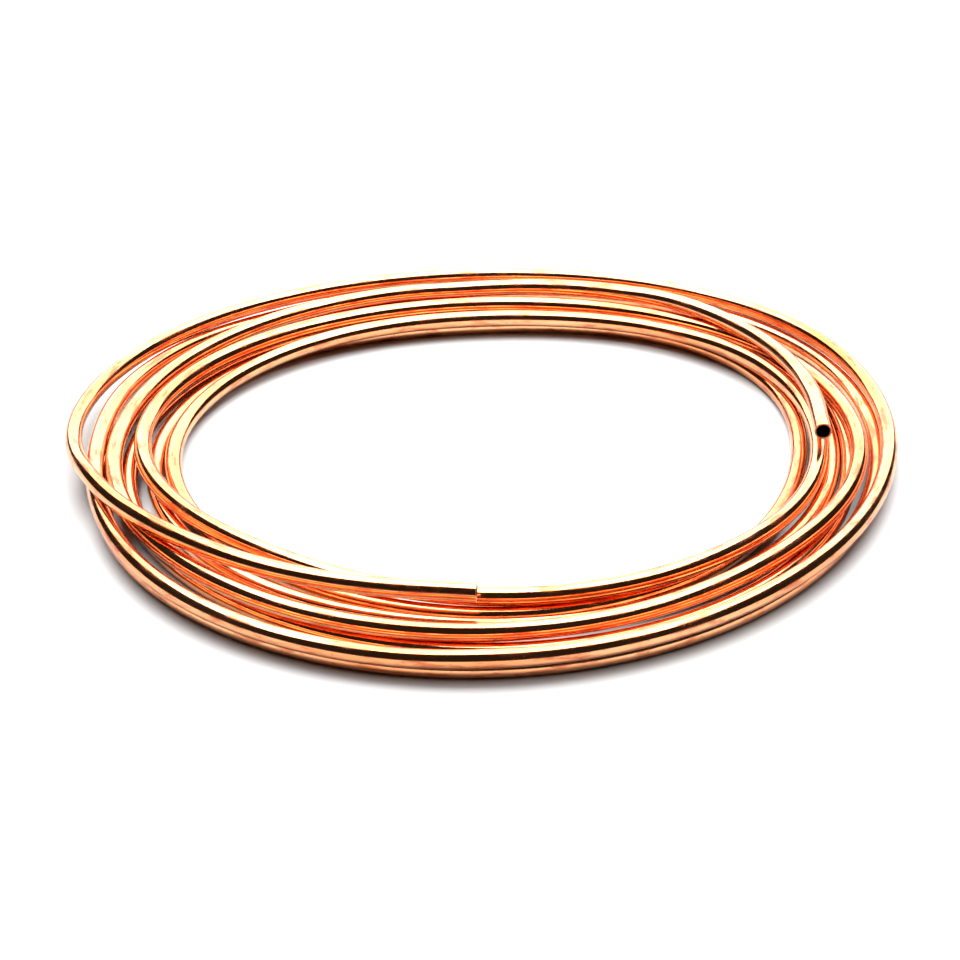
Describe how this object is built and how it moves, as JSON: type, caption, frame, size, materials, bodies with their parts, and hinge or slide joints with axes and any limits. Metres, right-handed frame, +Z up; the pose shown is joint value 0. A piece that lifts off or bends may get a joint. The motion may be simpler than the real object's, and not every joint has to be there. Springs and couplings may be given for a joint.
{
  "type": "copper tube coil",
  "caption": "Flat, loosely wound coil of bright soft copper tube round a wide open eye, with its cut ends lying free on top",
  "frame": {"origin": "middle of the coil's bounding box, on the level floor that the coil lies on", "axes": "+Z up out of the eye of the coil, which is the shortest extent; +X along the longest extent, to the right as the picture sees it; +Y away from the viewer"},
  "size_m": [0.477, 0.4758, 0.0308],
  "materials": {
    "copper": "polished"
  },
  "bodies": {
    "root": {"copper_tube": "copper"}
  },
  "joints": []
}
